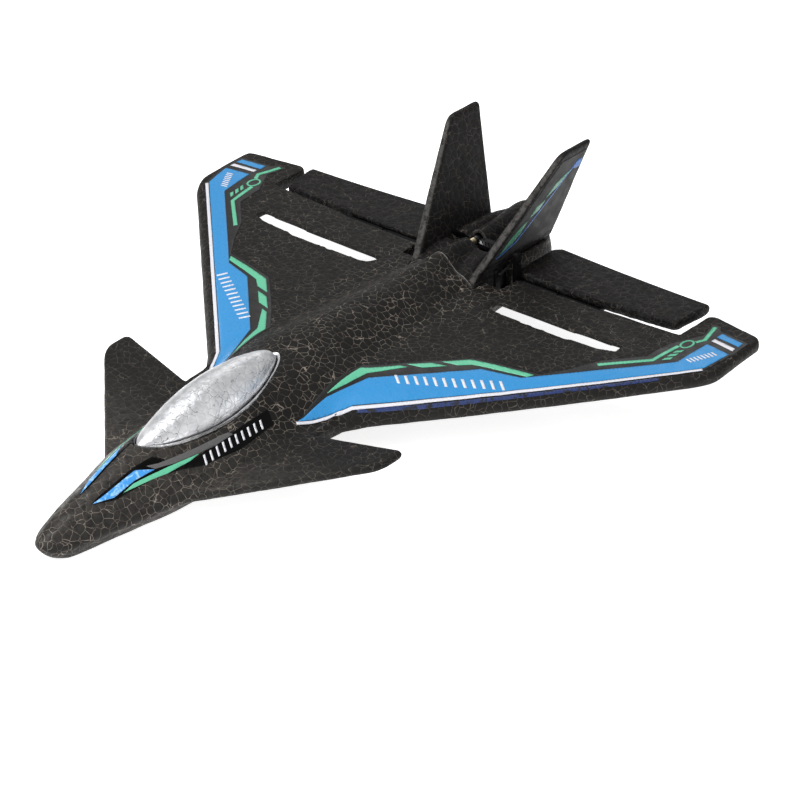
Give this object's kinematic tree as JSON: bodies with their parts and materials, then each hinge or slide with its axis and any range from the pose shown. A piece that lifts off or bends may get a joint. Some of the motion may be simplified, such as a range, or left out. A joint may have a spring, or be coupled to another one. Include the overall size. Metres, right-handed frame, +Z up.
{
  "type": "rc jet plane",
  "caption": "Foam radio-controlled delta jet with canards, twin canted fins, hinged elevons on pushrods and a pusher propeller in a slot.",
  "frame": {"origin": "middle of the length and span, on the surface the flat belly rests on", "axes": "+Z up, nose towards -Y, +X to the aircraft's left"},
  "size_m": [0.3, 0.326, 0.0805],
  "materials": {
    "foam": "moulded expanded-bead foam, satin, with faint cell lines",
    "foil": "thin crinkled silver film",
    "gloss_black": "moulded glossy",
    "matte_black": "moulded fine texture",
    "steel": "drawn wire and turned cans",
    "brass": "bright turned",
    "board": "solder-masked board",
    "pouch": "smooth cell wrap",
    "lens": "clear-white moulded"
  },
  "bodies": {
    "airframe": {"foam_airframe": "foam", "tail_unit": "foam", "canopy": "foil", "canopy_rim": "foil", "left_hinge_rail": "matte_black", "left_hinge_pin": "steel", "left_servo_case": "gloss_black", "right_hinge_rail": "matte_black", "right_hinge_pin": "steel", "right_servo_case": "gloss_black", "motor": "steel", "motor_sleeve": "matte_black", "belly_cover": "matte_black", "cover_screw_1": "steel", "cover_screw_2": "steel", "cover_screw_3": "steel", "cover_screw_4": "steel", "battery": "pouch", "circuit_board": "board", "switch_housing": "matte_black", "charge_socket": "matte_black", "status_lens": "lens"},
    "left_elevon_body": {"left_elevon": "foam", "left_elevon_carrier": "gloss_black"},
    "left_servo_arm_body": {"left_servo_arm": "gloss_black"},
    "left_pushrod_body": {"left_pushrod": "matte_black"},
    "right_elevon_body": {"right_elevon": "foam", "right_elevon_carrier": "gloss_black"},
    "right_servo_arm_body": {"right_servo_arm": "gloss_black"},
    "right_pushrod_body": {"right_pushrod": "matte_black"},
    "propeller_body": {"prop_shaft": "steel", "propeller": "gloss_black", "prop_collar": "brass"},
    "switch_body": {"switch_slider": "gloss_black"}
  },
  "joints": [
    {"name": "left_elevon_hinge", "type": "hinge", "parent": "airframe", "child": "left_elevon_body", "pos_m": [0.05, 0.1158, 0.0236], "axis": [1, 0, 0], "range_deg": [-20, 20]},
    {"name": "left_servo_arm_pivot", "type": "hinge", "parent": "airframe", "child": "left_servo_arm_body", "pos_m": [0.02215, 0.1065, 0.0205], "axis": [1, 0, 0], "range_deg": [-20.5, 20.5]},
    {"name": "left_pushrod_pivot", "type": "hinge", "parent": "left_servo_arm_body", "child": "left_pushrod_body", "pos_m": [0.02215, 0.1065, 0.03], "axis": [1, 0, 0], "range_deg": [-20.5, 20.5]},
    {"name": "right_elevon_hinge", "type": "hinge", "parent": "airframe", "child": "right_elevon_body", "pos_m": [-0.05, 0.1158, 0.0236], "axis": [1, 0, 0], "range_deg": [-20, 20]},
    {"name": "right_servo_arm_pivot", "type": "hinge", "parent": "airframe", "child": "right_servo_arm_body", "pos_m": [-0.02215, 0.1065, 0.0205], "axis": [1, 0, 0], "range_deg": [-20.5, 20.5]},
    {"name": "right_pushrod_pivot", "type": "hinge", "parent": "right_servo_arm_body", "child": "right_pushrod_body", "pos_m": [-0.02215, 0.1065, 0.03], "axis": [1, 0, 0], "range_deg": [-20.5, 20.5]},
    {"name": "propeller_spin", "type": "hinge", "parent": "airframe", "child": "propeller_body", "pos_m": [0, 0.119, 0.0346], "axis": [0, 1, 0], "continuous": true},
    {"name": "power_switch_slide", "type": "slide", "parent": "airframe", "child": "switch_body", "axis": [0, 1, 0], "range_m": [0, 0.0025]}
  ],
  "couplings": [
    {"joint": "left_servo_arm_pivot", "follows": "left_elevon_hinge", "ratio": 1},
    {"joint": "left_pushrod_pivot", "follows": "left_elevon_hinge", "ratio": -1},
    {"joint": "right_servo_arm_pivot", "follows": "right_elevon_hinge", "ratio": 1},
    {"joint": "right_pushrod_pivot", "follows": "right_elevon_hinge", "ratio": -1}
  ]
}
